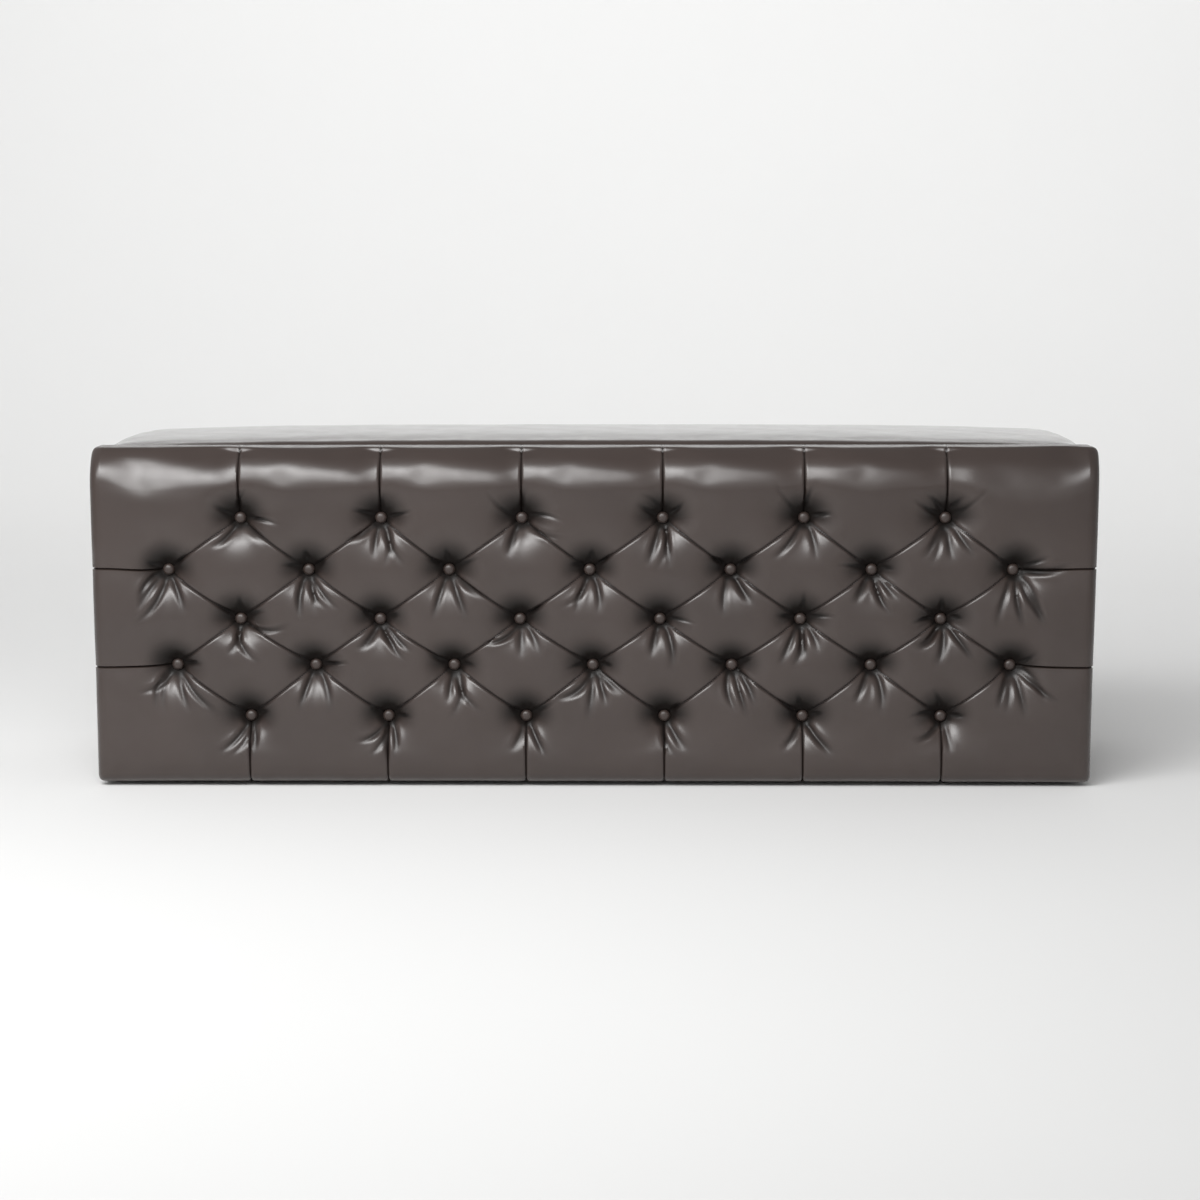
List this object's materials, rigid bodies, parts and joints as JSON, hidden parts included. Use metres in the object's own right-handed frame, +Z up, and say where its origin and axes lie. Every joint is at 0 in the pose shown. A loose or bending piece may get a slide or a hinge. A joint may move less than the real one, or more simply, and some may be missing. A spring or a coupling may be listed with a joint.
{
  "type": "storage ottoman bench",
  "caption": "Long upholstered storage bench with a deep-buttoned diamond front, a crowned padded lid on rear hinges and a lined box inside.",
  "frame": {"origin": "on the floor under the centre of the bench", "axes": "+X along the bench, +Y from the buttoned front to the hinged back, +Z up"},
  "size_m": [1.27, 0.41, 0.4449],
  "materials": {
    "espresso_vinyl": "smooth semi-gloss faux leather",
    "black_backing": "matt non-woven backing",
    "plain_wood": "unfinished board",
    "foam": "open-cell foam",
    "lining_fabric": "matt lining cloth",
    "twine": "waxed twine",
    "zinc_steel": "zinc plated",
    "glide_plastic": "moulded"
  },
  "bodies": {
    "base": {"front_tufted_cover": "espresso_vinyl", "left_end_cover": "espresso_vinyl", "right_end_cover": "espresso_vinyl", "tuft_buttons": "espresso_vinyl", "back_cover": "black_backing", "dust_cover": "black_backing", "front_board": "plain_wood", "back_board": "plain_wood", "left_end_board": "plain_wood", "right_end_board": "plain_wood", "bottom_panel": "plain_wood", "bottom_battens": "plain_wood", "corner_posts": "plain_wood", "front_lid_rail": "plain_wood", "rear_lid_rail": "plain_wood", "front_foam": "foam", "left_end_foam": "foam", "right_end_foam": "foam", "back_foam": "foam", "storage_lining": "lining_fabric", "tuft_twines": "twine", "frame_screws": "zinc_steel", "hinge_base_screws": "zinc_steel", "tuft_washers": "zinc_steel", "hinge_left_base_leaf": "zinc_steel", "hinge_left_pin": "zinc_steel", "hinge_middle_base_leaf": "zinc_steel", "hinge_middle_pin": "zinc_steel", "hinge_right_base_leaf": "zinc_steel", "hinge_right_pin": "zinc_steel", "floor_glides": "glide_plastic"},
    "lid": {"lid_board": "plain_wood", "lid_foam": "foam", "lid_cover": "espresso_vinyl", "lid_liner": "lining_fabric", "lid_battens": "plain_wood", "hinge_lid_screws": "zinc_steel", "hinge_left_lid_leaf": "zinc_steel", "hinge_middle_lid_leaf": "zinc_steel", "hinge_right_lid_leaf": "zinc_steel"}
  },
  "joints": [
    {"name": "lid_hinge", "type": "hinge", "parent": "base", "child": "lid", "pos_m": [0, 0.2, 0.3896], "axis": [-1, 0, 0], "range_deg": [0, 95]}
  ]
}
